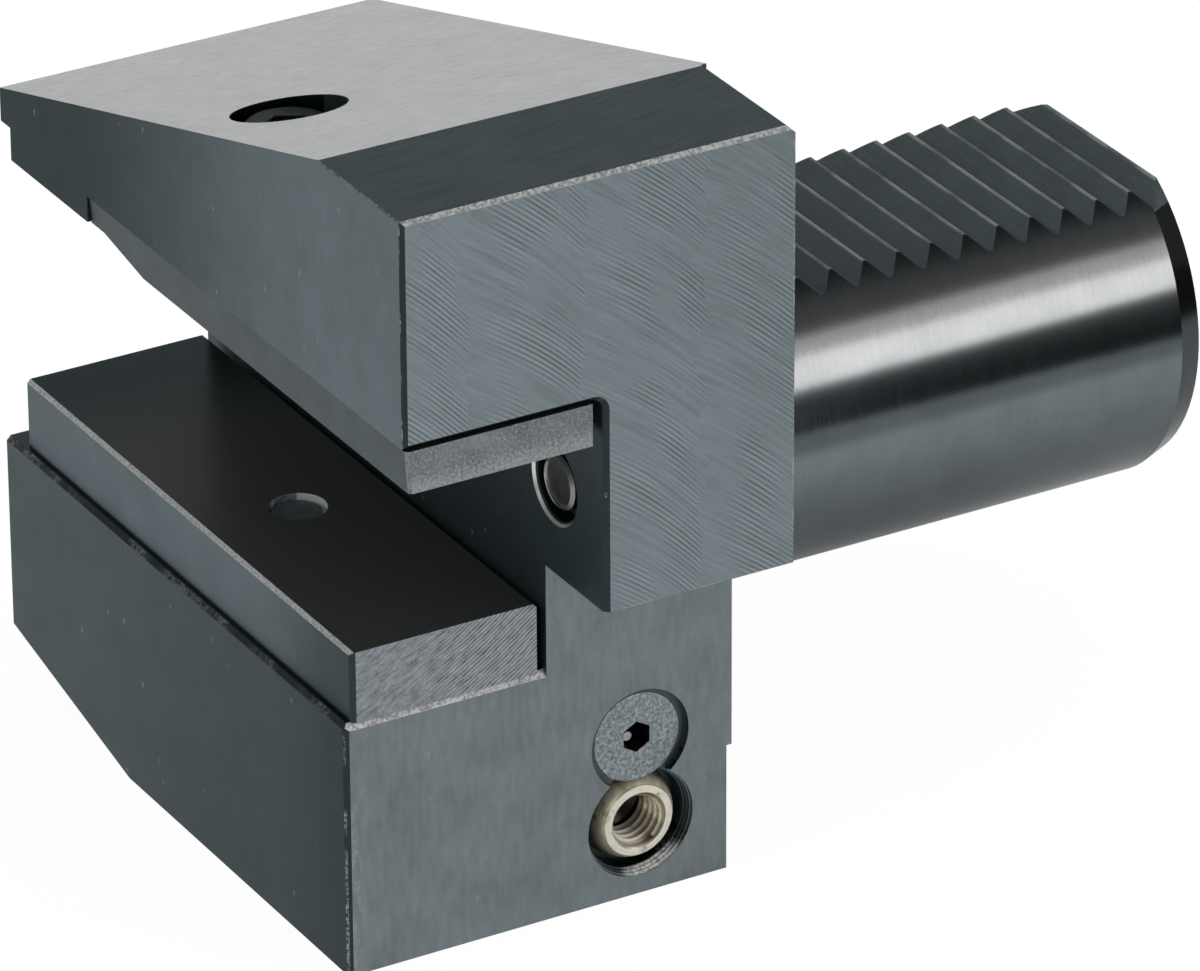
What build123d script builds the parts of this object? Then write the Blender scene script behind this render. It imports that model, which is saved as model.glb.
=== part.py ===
from build123d import *
from build123d.topology import SkipClean
import math
import os

# Radial square-shank tool holder with a toothed cylindrical shank, millimetres.
# Origin: the shank's axis at the flange face. +Y runs out along the shank,
# +X points the way the turning tool's cutting end points, +Z is the toothed side.

# Toothed shank
shank_diameter = 40.0
shank_length = 63.0
shank_lead_length = 2.6
shank_lead_depth = 0.9
rack_pitch = 4.0
rack_depth = 1.6
rack_crest_height = 16.0
rack_flank_angle = 45.0
rack_valley_count = 12
rack_last_valley_from_end = 2.3

# Body block
body_width = 85.0
body_front = 42.5
arm_length = 43.3
lower_arm_overhang = 0.7
lower_front = 30.7
bottom_height = -37.6
top_height = 49.75
top_flat_width = 16.3
top_slope = 15.9
top_edge_bevel = 0.8
top_left_bevel = 0.15
front_foot_height = 2.4
flange_relief_height = -23.5
flange_relief_depth = 0.6
end_lip_height = 3.7
end_lip_depth = 2.1
front_edge_bevel = 0.45
slot_edge_bevel = 0.55
front_top_bevel = 0.42
floor_edge_bevel = 0.65
foot_edge_bevel = 0.5
roof_corner_radius = 1.2
bottom_chamfer_run = 26.0
bottom_chamfer_rise = 6.2

# Tool slot, open on the left and at both ends
slot_wall = 21.3
slot_roof = 25.7
slot_floor = -9.4
far_roof = 22.85
bar_pocket_end = -23.4

# Seat bar under the upper arm
bar_clearance = 0.15
bar_thickness = 4.55
bar_wall_gap = 1.3
bar_side_inset = 0.2
bar_side_slant = 0.3
bar_nose_run = 11.0
bar_nose_rise = 1.75
bar_corner_bevel = 0.35

# Clamping plate on the lower arm
plate_thickness = 7.8
plate_wall_gap = 1.0
plate_inset = 0.9
plate_far_gap = 3.5
plate_front_inset = 0.1
plate_edge_bevel = 0.4
plate_corner_bevel = 0.5
plate_travel = 4.0

# Screw row, shared by the seat bar, the plate and the clamping screws
screw_row_centre = 0.4
clamp_screw_spread = 42.0
clamp_screw_radius = 6.0
clamp_screw_length = 24.0
clamp_screw_socket = 6.0
clamp_screw_socket_depth = 7.0
clamp_screw_point_radius = 3.6
clamp_screw_point_rise = 1.4
thread_clearance = 0.06

# Cap screws with hexagon sockets
cap_thread_radius = 3.0
cap_hole_clearance = 0.3
cap_head_radius = 5.0
cap_head_height = 6.0
cap_head_bevel = 0.5
cap_socket = 5.0
cap_socket_depth = 3.2
bar_screw_counterbore_radius = 5.9
bar_screw_head_depth = 1.9
bar_screw_tip_cover = 0.9
bar_pin_radius = 2.0
bar_pin_spread = 33.0
bar_pin_depth = 6.0
bar_pin_cover = 0.6
pin_clearance = 0.01

# Plate guide screw and its return spring
guide_tip_depth = 0.5
guide_hole_radius = 3.3
guide_screw_length = 25.0
guide_bore_radius = 5.3
spring_length = 9.0
spring_wire_radius = 0.4
spring_mean_radius = 4.0
spring_turns = 4.0
spring_wire_sides = 5
spring_end_clearance = 0.02

# Coolant nozzle in the recessed front face
nozzle_row = 10.6
nozzle_height = -29.5
nozzle_ball_radius = 5.0
nozzle_ball_depth = 3.5
nozzle_face_radius = 3.85
nozzle_thread_radius = 2.6
nozzle_thread_depth = 5.5
nozzle_bore_radius = 1.5
nozzle_guide_clearance = 0.05
nozzle_guide_depth = 3.5
nozzle_mouth_radius = 5.6
nozzle_rim_radius = 6.05
nozzle_rim_steps = 3
nozzle_step_run = 0.4
seal_wire_radius = 1.0
seal_ring_radius = 3.9
seal_clearance = 0.08
seal_section_sides = 6

# Countersunk screw that keeps the nozzle ball in
keeper_height = -20.1
keeper_head_radius = 4.9
keeper_sink_depth = 0.75
keeper_mouth_radius = 5.6
keeper_head_height = 2.5
keeper_thread_radius = 2.5
keeper_length = 12.0
keeper_socket = 3.0
keeper_socket_depth = 1.9
keeper_hole_extra = 0.6
keeper_seat_clearance = 0.03

# Coolant channels and their plugs
channel_radius = 2.5
inlet_radius = 2.75
inlet_x = 32.6
inlet_height = 12.3
inlet_mouth_radius = 4.05
inlet_mouth_depth = 2.2
inlet_mouth_bevel = 0.42
riser_x = 13.5
wall_plug_radius = 2.95
wall_plug_length = 5.5
wall_plug_depth = 0.3
wall_plug_bevel = 0.36
wall_plug_dish_radius = 2.4
wall_plug_dish_depth = 0.25
screw_plug_radius = 4.0
screw_plug_length = 6.0
screw_plug_depth = 1.0
screw_plug_socket = 4.0
screw_plug_socket_depth = 3.0

# Seal ring in the flange face round the shank
flange_groove_inner = 21.4
flange_groove_width = 3.2
flange_groove_depth = 2.4
flange_ring_wire_radius = 1.35
flange_ring_clearance = 0.02

cut_extra = 1.0

# Places worked out from the sizes above
shank_radius = shank_diameter / 2
lower_arm_length = arm_length + lower_arm_overhang
screw_row = (slot_wall + lower_arm_length) / 2
flank_run = rack_depth / math.tan(math.radians(rack_flank_angle))
root_half = (rack_pitch / 2 - flank_run) / 2
first_valley = shank_length - rack_last_valley_from_end - (rack_valley_count - 1) * rack_pitch
teeth_start = first_valley - root_half - flank_run
body_back = body_front - body_width
top_ridge = body_front - top_flat_width
top_fall = math.tan(math.radians(top_slope))
far_top_height = top_height - (top_ridge - body_back) * top_fall
bar_bottom = slot_roof - bar_clearance - bar_thickness
bar_pin_end = bar_bottom + bar_nose_rise + bar_pin_cover
plate_top = slot_floor + plate_thickness
clamp_screw_places = (screw_row_centre + clamp_screw_spread / 2, screw_row_centre - clamp_screw_spread / 2)
bar_pin_places = (screw_row_centre + bar_pin_spread / 2, screw_row_centre - bar_pin_spread / 2)
bar_screw_head_top = top_height - (top_ridge - screw_row_centre) * top_fall - bar_screw_head_depth
guide_head_top = plate_top - guide_tip_depth - guide_screw_length
spring_seat = guide_head_top + spring_length
nozzle_centre = lower_front - nozzle_ball_depth
seal_centre = nozzle_centre - math.sqrt((nozzle_ball_radius + seal_wire_radius + seal_clearance) ** 2
                                        - seal_ring_radius ** 2)
nozzle_floor = seal_centre - seal_wire_radius
keeper_face = lower_front - keeper_sink_depth


def prism(points, start, end):
    """A solid whose outline is drawn in X and Z, from one Y to another."""
    outline = Wire.make_polygon([Vector(x, start, z) for x, z in points], close=True)
    return extrude(Face(outline), amount=end - start, dir=(0, 1, 0))


def rod(radius, start, end, place=(0, 0), along="Z"):
    """A round bar along one axis; place holds the other two coordinates, in X, Y, Z order."""
    length = end - start
    middle = (start + end) / 2
    bar = Cylinder(radius, length)
    if along == "X":
        return Pos(middle, place[0], place[1]) * Rot(0, 90, 0) * bar
    if along == "Y":
        return Pos(place[0], middle, place[1]) * Rot(90, 0, 0) * bar
    return Pos(place[0], place[1], middle) * bar


def hexagon(across_flats, start, end, place=(0, 0), along="Z"):
    """A hexagon bar, for sockets."""
    profile = RegularPolygon(across_flats / 2, 6, major_radius=False)
    bar = extrude(profile, amount=end - start)
    if along == "X":
        return Pos(start, place[0], place[1]) * Rot(0, 90, 0) * bar
    return Pos(place[0], place[1], start) * bar


def turned(points, place=(0, 0, 0), turn=(0, 0, 0)):
    """A turned piece: its half section is drawn as radius and height, and turned about Z."""
    outline = Wire.make_polygon([Vector(r, 0, h) for r, h in points], close=True)
    piece = revolve(Face(outline), axis=Axis.Z, revolution_arc=360)
    return Pos(*place) * Rot(*turn) * piece


def edges_at(solid, axis, x=None, y=None, z=None):
    """The straight edges along one axis whose middles lie at the given coordinates."""
    found = []
    for edge in solid.edges().filter_by(axis):
        middle = edge.center()
        offsets = [abs(have - want) for have, want in ((middle.X, x), (middle.Y, y), (middle.Z, z))
                   if want is not None]
        if max(offsets) < 0.01:
            found.append(edge)
    return ShapeList(found)


def upper_block():
    """The web behind the slot and the arm over it, with the sloped top."""
    roof_line = [(body_front, top_height), (top_ridge, top_height), (body_back, far_top_height),
                 (body_back, far_top_height - end_lip_height),
                 (body_back + end_lip_depth, far_top_height - end_lip_height)]
    arm = prism(roof_line + [(body_back + end_lip_depth, far_roof), (bar_pocket_end, far_roof),
                             (bar_pocket_end, slot_roof), (body_front, slot_roof)],
                -arm_length, -slot_wall)
    web = prism(roof_line + [(body_back + end_lip_depth, slot_floor), (lower_front, slot_floor),
                             (lower_front, front_foot_height), (body_front, front_foot_height)],
                -slot_wall, 0)
    block = arm + web
    block = fillet(edges_at(block, Axis.X, y=-slot_wall, z=slot_roof), roof_corner_radius)
    block = chamfer(edges_at(block, Axis.Z, x=body_front, y=-arm_length), front_edge_bevel)
    block = chamfer(edges_at(block, Axis.Z, x=body_front, y=-slot_wall), slot_edge_bevel)
    block = chamfer(edges_at(block, Axis.Y, x=body_front, z=top_height), front_top_bevel)
    for row, bevel in ((0, top_edge_bevel), (-arm_length, top_left_bevel)):
        side = bevel * math.sqrt(2)
        block -= Pos((top_ridge + body_front) / 2, row, top_height) * Rot(45, 0, 0) * Box(
            top_flat_width + cut_extra, side, side)
    return block


def lower_block():
    """The foot of the web and the lower arm, chamfered under its far end."""
    outline = [(lower_front, slot_floor), (lower_front, bottom_height),
               (body_back + bottom_chamfer_run, bottom_height),
               (body_back, bottom_height + bottom_chamfer_rise), (body_back, slot_floor)]
    foot = prism(outline, -lower_arm_length, 0)
    worn = edges_at(foot, Axis.Z, x=lower_front, y=-lower_arm_length) + edges_at(
        foot, Axis.X, y=-lower_arm_length, z=slot_floor)
    foot = chamfer(worn, foot_edge_bevel)
    over = lower_front + cut_extra
    foot -= prism([(lower_front - floor_edge_bevel - cut_extra, slot_floor + cut_extra),
                   (over, slot_floor + cut_extra), (over, slot_floor - floor_edge_bevel - cut_extra)],
                  -lower_arm_length - cut_extra, -slot_wall)
    relief_height = flange_relief_height - bottom_height
    relief = Box(body_width + 2 * cut_extra, 2 * flange_relief_depth, 2 * relief_height)
    return foot - Pos(0, 0, bottom_height) * relief


def toothed_shank():
    """The toothed stretch of the shank, with its lead-in; the teeth are milled into the +Z side."""
    lead_start = shank_length - shank_lead_length
    end_radius = shank_radius - shank_lead_depth
    shank = turned([(0, teeth_start), (shank_radius, teeth_start), (shank_radius, lead_start),
                    (end_radius, shank_length), (0, shank_length)], turn=(-90, 0, -90))
    crest = rack_crest_height
    root = crest - rack_depth
    over = shank_radius + cut_extra
    line = [(teeth_start, over)]
    for number in range(rack_valley_count):
        valley = first_valley + number * rack_pitch
        line += [(valley - root_half - flank_run, crest), (valley - root_half, root),
                 (valley + root_half, root), (valley + root_half + flank_run, crest)]
    line += [(shank_length + cut_extra, crest), (shank_length + cut_extra, over)]
    return shank - prism_along_x(line, -shank_radius, shank_radius)


def body_channels():
    """Every drilled coolant channel, with the mouths of its plugs."""
    inlet = rod(inlet_radius, -slot_wall - cut_extra, cut_extra, (inlet_x, inlet_height), "Y")
    plug_seat = rod(wall_plug_radius, -slot_wall - cut_extra,
                    -slot_wall + wall_plug_depth + wall_plug_length, (inlet_x, inlet_height), "Y")
    mouth = rod(inlet_mouth_radius, -slot_wall - cut_extra, -slot_wall + inlet_mouth_depth,
                (inlet_x, inlet_height), "Y")
    mouth_cone = turned([(0, 0), (inlet_mouth_radius + inlet_mouth_bevel, 0),
                         (inlet_mouth_radius, inlet_mouth_bevel), (0, inlet_mouth_bevel)],
                        (inlet_x, -slot_wall, inlet_height), (-90, 0, 0))
    cross = rod(channel_radius, body_back - cut_extra, inlet_x, (-nozzle_row, inlet_height), "X")
    cross_mouth = rod(screw_plug_radius, body_back - cut_extra,
                      body_back + end_lip_depth + screw_plug_depth + screw_plug_length,
                      (-nozzle_row, inlet_height), "X")
    riser = rod(channel_radius, bottom_height - cut_extra, inlet_height, (riser_x, -nozzle_row))
    riser_mouth = rod(screw_plug_radius, bottom_height - cut_extra,
                      bottom_height + screw_plug_depth + screw_plug_length, (riser_x, -nozzle_row))
    feed = rod(channel_radius, riser_x, nozzle_floor + cut_extra, (-nozzle_row, nozzle_height), "X")
    return [inlet, plug_seat, mouth, mouth_cone, cross, cross_mouth, riser, riser_mouth, feed]


def nozzle_pocket():
    """The stepped seat of the nozzle ball and the countersink of the keeper screw."""
    over = lower_front + cut_extra
    centre = (-nozzle_row, nozzle_height)
    cuts = [rod(nozzle_ball_radius + nozzle_guide_clearance, nozzle_floor, over, centre, "X"),
            rod(nozzle_mouth_radius, lower_front - nozzle_guide_depth, over, centre, "X")]
    step_rise = (nozzle_rim_radius - nozzle_mouth_radius) / nozzle_rim_steps
    for step in range(nozzle_rim_steps):
        cuts.append(rod(nozzle_rim_radius - step * step_rise,
                        lower_front - (step + 1) * nozzle_step_run, over, centre, "X"))
    seat_radius = keeper_head_radius + keeper_seat_clearance
    hole_radius = keeper_thread_radius + keeper_seat_clearance
    sink = turned([(0, cut_extra), (keeper_mouth_radius, cut_extra),
                   (keeper_mouth_radius, -keeper_sink_depth), (seat_radius, -keeper_sink_depth),
                   (hole_radius, -keeper_sink_depth - (seat_radius - hole_radius)),
                   (hole_radius, -keeper_sink_depth - keeper_length - keeper_hole_extra),
                   (0, -keeper_sink_depth - keeper_length - keeper_hole_extra)],
                  (lower_front, -nozzle_row, keeper_height), (0, 90, 0))
    return cuts + [sink]


def screw_holes():
    """Holes of the seat bar screw, its pins, the clamping screws and the plate guide screw."""
    cuts = []
    row = (screw_row_centre, -screw_row)
    cuts.append(rod(bar_screw_counterbore_radius, bar_screw_head_top - cap_head_height,
                    top_height + cut_extra, row))
    cuts.append(rod(cap_thread_radius + cap_hole_clearance, slot_roof - cut_extra, top_height, row))
    for x in bar_pin_places:
        cuts.append(rod(bar_pin_radius + pin_clearance, slot_roof - cut_extra,
                        slot_roof + bar_pin_depth, (x, -screw_row)))
    for x in clamp_screw_places:
        cuts.append(rod(clamp_screw_radius + thread_clearance, bottom_height - cut_extra,
                        slot_floor + cut_extra, (x, -screw_row)))
    cuts.append(rod(guide_hole_radius, bottom_height, slot_floor + cut_extra, row))
    cuts.append(rod(guide_bore_radius, bottom_height - cut_extra, spring_seat, row))
    return cuts


def flange_groove():
    """The ring groove in the flange face round the shank."""
    outer = flange_groove_inner + flange_groove_width
    return turned([(flange_groove_inner, -flange_groove_depth), (outer, -flange_groove_depth),
                   (outer, cut_extra), (flange_groove_inner, cut_extra)], turn=(-90, 0, 0))


def holder_body():
    body = upper_block() + lower_block() + rod(shank_radius, -cut_extra, teeth_start, along="Y")
    for cut in body_channels() + nozzle_pocket() + screw_holes() + [flange_groove()]:
        body -= cut
    # The toothed stretch keeps its own partly round wall beside the fully round one
    with SkipClean():
        return body + toothed_shank()


def seat_bar():
    """The hardened bar that the tool's shank bears against, with a run-in at its far end."""
    far_end = bar_pocket_end + bar_clearance
    top = slot_roof - bar_clearance
    nose_top = bar_bottom + bar_nose_rise
    side = -arm_length + bar_side_inset
    back = -slot_wall - bar_wall_gap
    bar = prism([(body_front, bar_bottom), (body_front, top), (far_end, top), (far_end, nose_top),
                 (far_end + bar_nose_run / 4, nose_top), (far_end + bar_nose_run, bar_bottom)],
                side, back)
    slant = prism_along_x([(side - cut_extra, top + cut_extra), (side, top),
                           (side + bar_side_slant, bar_bottom),
                           (side + bar_side_slant, bar_bottom - cut_extra),
                           (side - cut_extra, bar_bottom - cut_extra)],
                          far_end - cut_extra, body_front + cut_extra)
    bar -= slant
    near_face = bar.faces().sort_by(Axis.X)[-1]
    bar = chamfer(near_face.edges().sort_by(Axis.Y)[0], bar_corner_bevel)
    bar -= rod(cap_thread_radius + pin_clearance, bar_bottom + bar_screw_tip_cover, top + cut_extra,
               (screw_row_centre, -screw_row))
    for x in bar_pin_places:
        bar -= rod(bar_pin_radius + pin_clearance, bar_pin_end, top + cut_extra, (x, -screw_row))
    return bar


def prism_along_x(points, start, end):
    """A solid whose outline is drawn in Y and Z, from one X to another."""
    outline = Wire.make_polygon([Vector(start, y, z) for y, z in points], close=True)
    return extrude(Face(outline), amount=end - start, dir=(1, 0, 0))


def cap_screw(head_top, tip, place):
    """A cap screw standing on its tip side down or up: the head is at head_top."""
    way = 1 if head_top > tip else -1
    head_under = head_top - way * cap_head_height
    bevel = cap_head_bevel
    screw = turned([(0, tip), (cap_thread_radius - bevel, tip), (cap_thread_radius, tip + way * bevel),
                    (cap_thread_radius, head_under), (cap_head_radius, head_under),
                    (cap_head_radius, head_top - way * bevel), (cap_head_radius - bevel, head_top),
                    (0, head_top)], (place[0], place[1], 0))
    low = min(head_top, head_top - way * cap_socket_depth)
    return screw - hexagon(cap_socket, low, low + cap_socket_depth, place)


def seat_bar_screw():
    return cap_screw(bar_screw_head_top, bar_bottom + bar_screw_tip_cover,
                     (screw_row_centre, -screw_row))


def seat_bar_pins():
    pins = [rod(bar_pin_radius, bar_pin_end, slot_roof + bar_pin_depth, (x, -screw_row))
            for x in bar_pin_places]
    return Compound(children=pins)


def clamp_plate():
    """The plate that lifts and presses the tool against the seat bar."""
    front = lower_front - plate_front_inset
    back = body_back + plate_far_gap
    side = -lower_arm_length + plate_inset
    wall = -slot_wall - plate_wall_gap
    plate = Pos((front + back) / 2, (side + wall) / 2, slot_floor) * Box(
        front - back, wall - side, plate_thickness, align=(Align.CENTER, Align.CENTER, Align.MIN))
    top_edges = plate.edges().filter_by(Axis.X).group_by(Axis.Z)[-1]
    plate = chamfer(top_edges, plate_edge_bevel)
    plate = chamfer(edges_at(plate, Axis.Z, x=front, y=side), plate_corner_bevel)
    plate -= rod(cap_thread_radius + pin_clearance, slot_floor - cut_extra, plate_top + cut_extra,
                 (screw_row_centre, -screw_row))
    return plate


def plate_guide_screw():
    head_bottom = guide_head_top - cap_head_height
    return cap_screw(head_bottom, plate_top - guide_tip_depth, (screw_row_centre, -screw_row))


def plate_return_spring():
    """A coil spring round the guide screw, between its head and the step in the arm."""
    height = spring_length - 2 * (spring_wire_radius + spring_end_clearance)
    path = Helix(height / spring_turns, height, spring_mean_radius)
    section = Plane(origin=path @ 0, z_dir=path % 0) * RegularPolygon(spring_wire_radius, spring_wire_sides)
    wire = sweep(section, path=path)
    return Pos(screw_row_centre, -screw_row,
               guide_head_top + spring_wire_radius + spring_end_clearance) * wire


def clamp_screw(x):
    """A socket set screw whose point bears on the plate from below."""
    tip = slot_floor
    end = tip - clamp_screw_length
    shoulder = tip - clamp_screw_point_rise
    end_bevel = clamp_screw_point_rise / 2
    screw = turned([(0, tip), (clamp_screw_point_radius, tip), (clamp_screw_radius, shoulder),
                    (clamp_screw_radius, end + end_bevel), (clamp_screw_radius - end_bevel, end),
                    (0, end)], (x, -screw_row, 0))
    return screw - hexagon(clamp_screw_socket, end - cut_extra, end + clamp_screw_socket_depth,
                           (x, -screw_row))


def coolant_nozzle():
    """A brass ball with a flat face and a threaded bore, drawn about Z and turned to face +X."""
    face = math.sqrt(nozzle_ball_radius ** 2 - nozzle_face_radius ** 2)
    ball = Sphere(nozzle_ball_radius)
    ball -= rod(nozzle_ball_radius, face, nozzle_ball_radius + cut_extra)
    ball -= rod(nozzle_bore_radius, -nozzle_ball_radius - cut_extra, face)
    ball -= rod(nozzle_thread_radius, face - nozzle_thread_depth, face + cut_extra)
    return Pos(nozzle_centre, -nozzle_row, nozzle_height) * Rot(0, 90, 0) * ball


def ring(ring_radius, wire_radius):
    """A seal ring about Z; its section has flats enough to look round."""
    step = 2 * math.pi / seal_section_sides
    return turned([(ring_radius + wire_radius * math.cos(step * side), wire_radius * math.sin(step * side))
                   for side in range(seal_section_sides)])


def nozzle_seal():
    return Pos(seal_centre, -nozzle_row, nozzle_height) * Rot(0, 90, 0) * ring(
        seal_ring_radius, seal_wire_radius)


def nozzle_keeper_screw():
    """The countersunk screw whose head edge holds the ball in its seat."""
    cone = keeper_head_radius - keeper_thread_radius
    screw = turned([(0, 0), (keeper_head_radius, 0), (keeper_thread_radius, -cone),
                    (keeper_thread_radius, -keeper_length), (0, -keeper_length)])
    screw -= hexagon(keeper_socket, -keeper_socket_depth, cut_extra)
    return Pos(keeper_face, -nozzle_row, keeper_height) * Rot(0, 90, 0) * screw


def wall_channel_plug():
    """The pressed plug, dished in its face, that closes the inlet channel at the slot wall."""
    face = -slot_wall + wall_plug_depth
    radius = wall_plug_radius - pin_clearance
    dish = wall_plug_dish_depth
    return turned([(0, dish), (wall_plug_dish_radius, dish), (radius - wall_plug_bevel, 0),
                   (radius, wall_plug_bevel), (radius, wall_plug_length), (0, wall_plug_length)],
                  (inlet_x, face, inlet_height), (-90, 0, 0))


def screw_plug():
    """A short socket plug, drawn with its outer face at 0 and its body below."""
    plug = rod(screw_plug_radius - pin_clearance, -screw_plug_length, 0)
    return plug - hexagon(screw_plug_socket, -screw_plug_socket_depth, cut_extra)


def cross_channel_plug():
    outer = body_back + end_lip_depth + screw_plug_depth
    return Pos(outer, -nozzle_row, inlet_height) * Rot(0, -90, 0) * screw_plug()


def riser_channel_plug():
    return Pos(riser_x, -nozzle_row, bottom_height + screw_plug_depth) * Rot(180, 0, 0) * screw_plug()


def flange_seal_ring():
    ring_radius = flange_groove_inner + flange_groove_width / 2
    centre = -flange_groove_depth + flange_ring_wire_radius + flange_ring_clearance
    return Pos(0, centre, 0) * Rot(90, 0, 0) * ring(ring_radius, flange_ring_wire_radius)


pieces = {
    "holder_body": holder_body(),
    "seat_bar": seat_bar(),
    "seat_bar_screw": seat_bar_screw(),
    "seat_bar_pins": seat_bar_pins(),
    "clamp_plate": clamp_plate(),
    "plate_guide_screw": plate_guide_screw(),
    "plate_return_spring": plate_return_spring(),
    "clamp_screw_front": clamp_screw(clamp_screw_places[0]),
    "clamp_screw_back": clamp_screw(clamp_screw_places[1]),
    "coolant_nozzle": coolant_nozzle(),
    "nozzle_seal": nozzle_seal(),
    "nozzle_keeper_screw": nozzle_keeper_screw(),
    "wall_channel_plug": wall_channel_plug(),
    "cross_channel_plug": cross_channel_plug(),
    "riser_channel_plug": riser_channel_plug(),
    "flange_seal_ring": flange_seal_ring(),
}

os.makedirs("parts", exist_ok=True)
for name, piece in pieces.items():
    export_step(piece, f"parts/{name}.step")
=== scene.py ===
import bpy
import bmesh
import math
from mathutils import Matrix, Vector


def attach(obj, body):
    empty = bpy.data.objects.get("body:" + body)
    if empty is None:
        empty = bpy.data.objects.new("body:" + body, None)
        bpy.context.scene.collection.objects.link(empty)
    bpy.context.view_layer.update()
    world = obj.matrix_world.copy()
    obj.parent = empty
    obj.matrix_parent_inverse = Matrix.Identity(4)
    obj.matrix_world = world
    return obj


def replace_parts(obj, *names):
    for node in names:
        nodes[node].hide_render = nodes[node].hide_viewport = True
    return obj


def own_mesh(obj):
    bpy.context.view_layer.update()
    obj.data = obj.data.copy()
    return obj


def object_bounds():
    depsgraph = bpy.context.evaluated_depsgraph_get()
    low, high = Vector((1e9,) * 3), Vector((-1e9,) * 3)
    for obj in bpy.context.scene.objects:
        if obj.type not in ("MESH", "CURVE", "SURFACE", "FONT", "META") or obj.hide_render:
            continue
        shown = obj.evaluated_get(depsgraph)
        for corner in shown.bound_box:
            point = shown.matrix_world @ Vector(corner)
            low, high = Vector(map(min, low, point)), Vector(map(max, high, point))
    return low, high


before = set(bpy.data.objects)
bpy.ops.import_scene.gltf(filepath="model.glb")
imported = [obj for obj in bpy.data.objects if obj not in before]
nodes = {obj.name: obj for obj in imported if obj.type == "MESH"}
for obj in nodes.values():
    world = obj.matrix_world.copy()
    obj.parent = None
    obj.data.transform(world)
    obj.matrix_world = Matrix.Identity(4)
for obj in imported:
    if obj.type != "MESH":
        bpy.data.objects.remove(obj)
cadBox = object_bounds()
print("frame loaded,", len(nodes), "nodes")

mm = 0.001
fullTurn = 2 * math.pi

# axes that several pieces share
nozzleAxis = (-10.6 * mm, -29.5 * mm)  # y and z, it runs along X
plugAxis = (32.6 * mm, 12.3 * mm)  # x and z, it runs along Y
guideAxis = (0.4 * mm, -32.65 * mm)  # x and y, it runs along Z

# how far along an axis a normal points: on a face square to it, on a bevel, and on what leans its way more or less
squareTo, onBevel, leans, slightly = 0.9, 0.5, 0.4, 0.3


class Graph:
    # wraps one node tree so that a chain of nodes reads like a formula

    def __init__(self, tree):
        self.tree = tree

    def put(self, socket, value):
        if isinstance(value, bpy.types.NodeSocket):
            self.tree.links.new(value, socket)
        elif value is not None:
            if socket.type == "VECTOR":
                value = value[:3]
            socket.default_value = value

    def add(self, kind, inputs=None, **settings):
        node = self.tree.nodes.new(kind)
        for key, value in settings.items():
            setattr(node, key, value)
        for key, value in (inputs or {}).items():
            self.put(node.inputs[key], value)
        return node

    def maths(self, operation, a, b=None):
        return self.add("ShaderNodeMath", {0: a, 1: b}, operation=operation).outputs[0]

    def times(self, *values):
        result = values[0]
        for value in values[1:]:
            result = self.maths("MULTIPLY", result, value)
        return result

    def plus(self, *values):
        result = values[0]
        for value in values[1:]:
            result = self.maths("ADD", result, value)
        return result

    def minus(self, a, b):
        return self.maths("SUBTRACT", a, b)

    def most(self, a, b):
        return self.maths("MAXIMUM", a, b)

    def above(self, value, limit):
        return self.maths("GREATER_THAN", value, limit)

    def below(self, value, limit):
        return self.maths("LESS_THAN", value, limit)

    def between(self, value, low, high):
        return self.times(self.above(value, low), self.below(value, high))

    def absolute(self, value):
        return self.maths("ABSOLUTE", value)

    def angle(self, a, b):
        return self.maths("ARCTAN2", a, b)

    def wave(self, value, pitch):
        return self.maths("SINE", self.times(value, fullTurn / pitch))

    def reach(self, a, b, centre=(0.0, 0.0)):
        # distance in a plane from an axis
        a, b = self.minus(a, centre[0]), self.minus(b, centre[1])
        return self.maths("SQRT", self.plus(self.times(a, a), self.times(b, b)))

    def smooth(self, value, low, high):
        # 0 at low, 1 at high, soft between
        return self.add("ShaderNodeMapRange", {0: value, 1: low, 2: high, 3: 0.0, 4: 1.0},
                        interpolation_type="SMOOTHSTEP").outputs[0]

    def ramps(self, value, rows):
        # one soft step for each low, high and amount
        return [self.times(self.smooth(value, low, high), amount) for low, high, amount in rows]

    def tone(self, amounts, *values):
        # the first amount, and of each value the share that the next amount names
        return self.plus(amounts[0], *[self.times(value, share) for value, share in zip(values, amounts[1:])])

    def vector(self, x=0.0, y=0.0, z=0.0):
        return self.add("ShaderNodeCombineXYZ", {0: x, 1: y, 2: z}).outputs[0]

    def laid(self, directions, scales):
        # a place to read a noise at, stretched along three directions; without one, the scale is a fixed offset
        return self.vector(*[scale if direction is None else self.times(direction, scale)
                             for direction, scale in zip(directions, scales)])

    def parts(self, vector):
        return self.add("ShaderNodeSeparateXYZ", {0: vector}).outputs

    def noise(self, place, scale=1.0, detail=2.0, rough=0.55):
        return self.add("ShaderNodeTexNoise", {"Vector": place, "Scale": scale, "Detail": detail,
                                               "Roughness": rough}).outputs["Fac"]

    def mix(self, factor, a, b, kind="RGBA"):
        # a mix node has two inputs and an output for each kind, in this order after the two factors
        row = ("FLOAT", "VECTOR", "RGBA").index(kind)
        return self.add("ShaderNodeMix", {0: factor, 2 * row + 2: a, 2 * row + 3: b}, data_type=kind).outputs[row]

    def shade(self, colour, amount):
        return self.add("ShaderNodeVectorMath", {0: colour, "Scale": amount}, operation="SCALE").outputs[0]


def clearGraph(owner):
    # an empty node tree for a material or a world
    owner.use_nodes = True
    owner.node_tree.nodes.clear()
    return Graph(owner.node_tree)


def startMaterial(name):
    material = bpy.data.materials.new(name)
    g = clearGraph(material)
    coordinates = g.add("ShaderNodeTexCoord").outputs
    place = coordinates["Object"]
    return material, g, place, g.parts(place), g.parts(coordinates["Normal"])


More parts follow.
